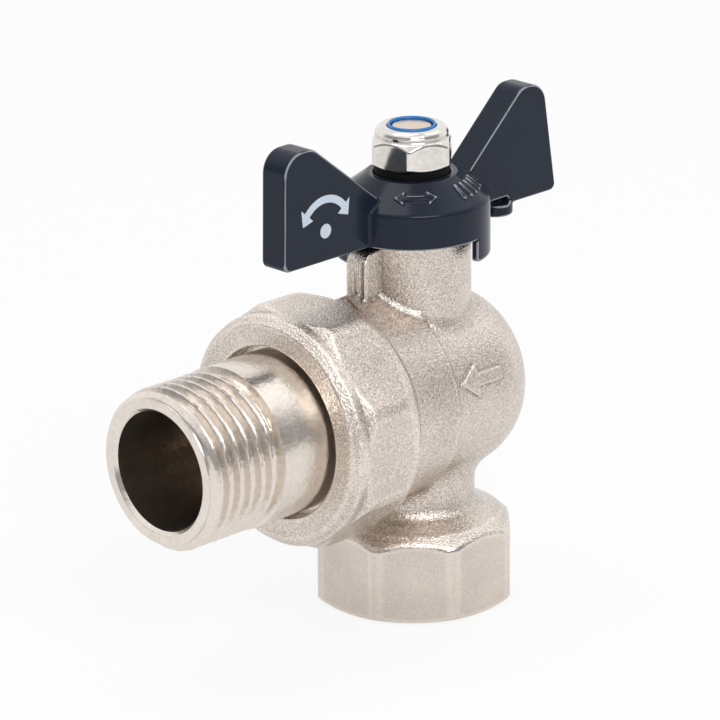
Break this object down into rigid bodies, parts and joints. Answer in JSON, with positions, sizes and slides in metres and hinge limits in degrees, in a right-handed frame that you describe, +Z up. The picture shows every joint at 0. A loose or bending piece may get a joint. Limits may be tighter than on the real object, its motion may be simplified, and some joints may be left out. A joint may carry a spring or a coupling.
{
  "type": "angle ball valve",
  "caption": "Nickel-plated brass angle ball valve with a butterfly handle, a threaded inlet at the bottom and a union tail at the side.",
  "frame": {"origin": "centre of the inlet's flat bottom face, on the axis that the inlet, ball, stem and handle share", "axes": "+Z up along the stem, -X out along the outlet tail, Y across"},
  "size_m": [0.0705, 0.0312, 0.0655],
  "materials": {
    "forged_nickel": "shot-blasted forging, matt nickel plate",
    "turned_nickel": "turned brass, satin nickel plate",
    "bare_brass": "turned brass",
    "ball_chrome": "polished hard chrome",
    "seat_plastic": "white fluoropolymer",
    "seal_rubber": "black rubber",
    "handle_paint": "dark slate blue semi-gloss enamel",
    "black_steel": "black oxide",
    "bright_nut": "bright zinc plate",
    "blue_nylon": "blue nylon"
  },
  "bodies": {
    "valve_body": {"body": "forged_nickel", "seat_retainer": "bare_brass", "retainer_o_ring": "seal_rubber", "front_seat": "seat_plastic", "rear_seat": "seat_plastic", "stem_thrust_washer": "seat_plastic"},
    "handle_set": {"handle": "handle_paint", "handle_washer": "black_steel", "lock_nut": "bright_nut", "lock_nut_insert": "blue_nylon", "stem": "bare_brass", "lower_stem_o_ring": "seal_rubber", "upper_stem_o_ring": "seal_rubber"},
    "ball_set": {"ball": "ball_chrome"},
    "tail_set": {"tail_piece": "turned_nickel", "tail_o_ring": "seal_rubber"},
    "nut_set": {"union_nut": "forged_nickel"}
  },
  "joints": [
    {"name": "handle_turn", "type": "hinge", "parent": "valve_body", "child": "handle_set", "pos_m": [0, 0, 0.05], "axis": [0, 0, 1], "range_deg": [-90, 0]},
    {"name": "ball_turn", "type": "hinge", "parent": "valve_body", "child": "ball_set", "pos_m": [0, 0, 0.0287], "axis": [0, 0, 1], "range_deg": [-90, 0]},
    {"name": "tail_draw", "type": "slide", "parent": "valve_body", "child": "tail_set", "axis": [-1, 0, 0], "range_m": [0, 0.00725]},
    {"name": "union_nut_turn", "type": "hinge", "parent": "tail_set", "child": "nut_set", "pos_m": [-0.02, 0, 0.0287], "axis": [-1, 0, 0], "range_deg": [0, 1440]}
  ],
  "couplings": [
    {"joint": "ball_turn", "follows": "handle_turn", "ratio": 1},
    {"joint": "union_nut_turn", "follows": "tail_draw", "rad_per_m": 3463.7}
  ]
}
